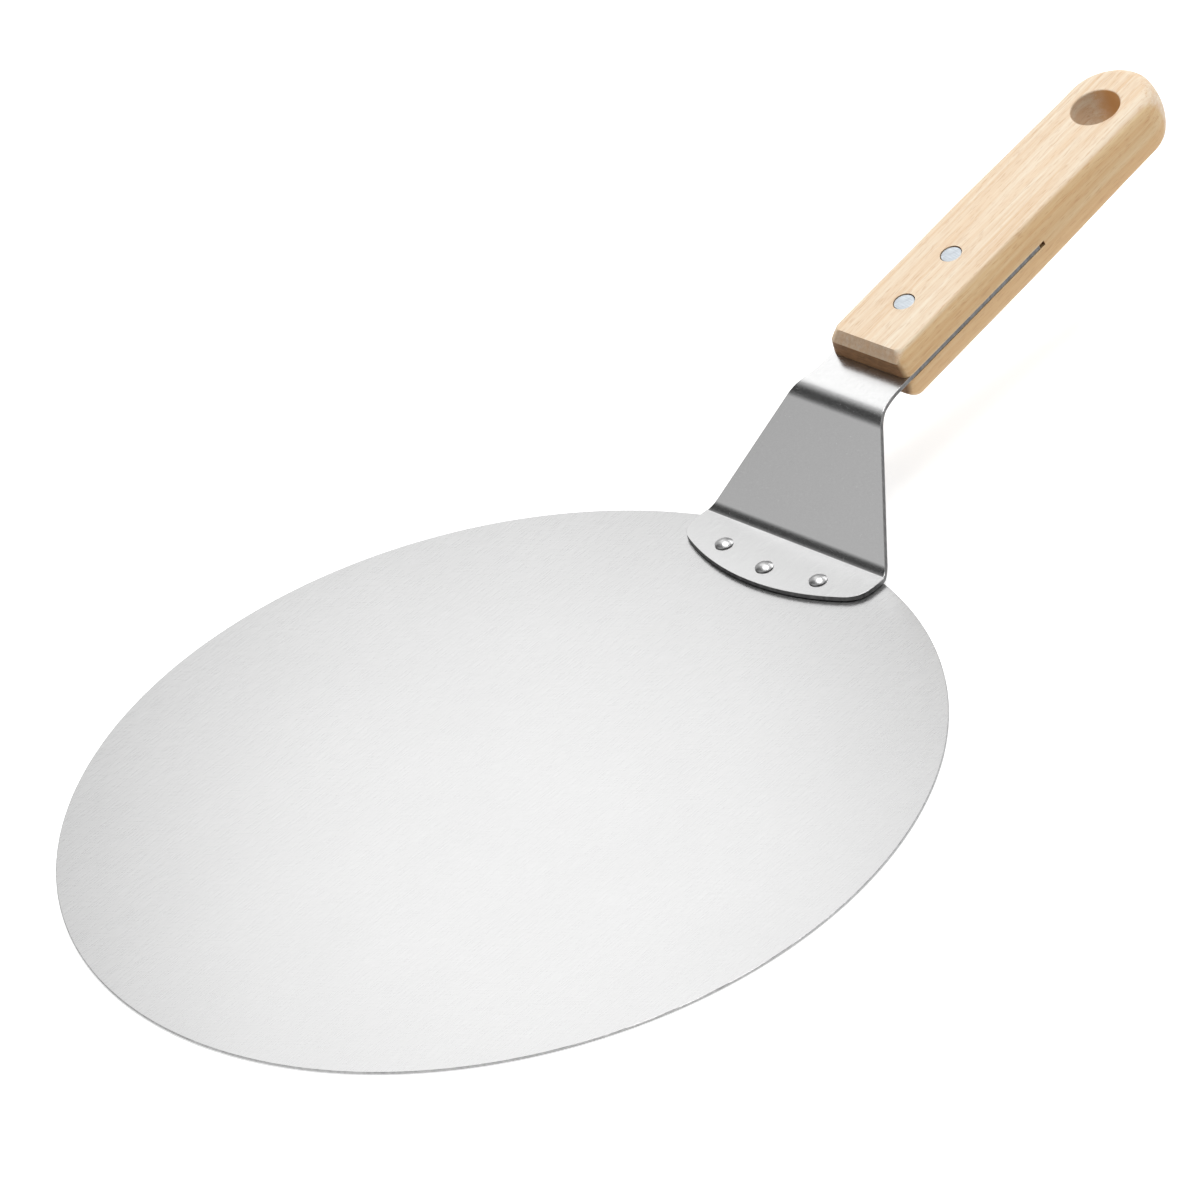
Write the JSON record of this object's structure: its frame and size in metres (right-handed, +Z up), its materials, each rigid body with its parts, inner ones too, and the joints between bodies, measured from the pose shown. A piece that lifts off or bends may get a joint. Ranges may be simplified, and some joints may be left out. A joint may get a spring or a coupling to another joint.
{
  "type": "pizza peel",
  "caption": "Round flat steel pizza peel with a riveted offset bracket and a straight wooden handle with a hanging hole.",
  "frame": {"origin": "centre of the round blade on its flat underside", "axes": "+Z up out of the blade's food side; +Y from the blade's centre to the handle, so the leading edge is at -Y; +X completes the right-handed frame"},
  "size_m": [0.254, 0.417, 0.0658],
  "materials": {
    "brushed_sheet": "fine one-way brushed stainless steel",
    "polished_rivet": "polished stainless steel",
    "pale_wood": "smooth sanded hardwood with a thin oil finish",
    "aluminium_rivet": "satin"
  },
  "bodies": {
    "root": {"blade": "brushed_sheet", "offset_bracket": "brushed_sheet", "blade_rivet_left": "polished_rivet", "blade_rivet_centre": "polished_rivet", "blade_rivet_right": "polished_rivet", "handle": "pale_wood", "handle_rivet_front": "aluminium_rivet", "handle_rivet_rear": "aluminium_rivet"}
  },
  "joints": []
}
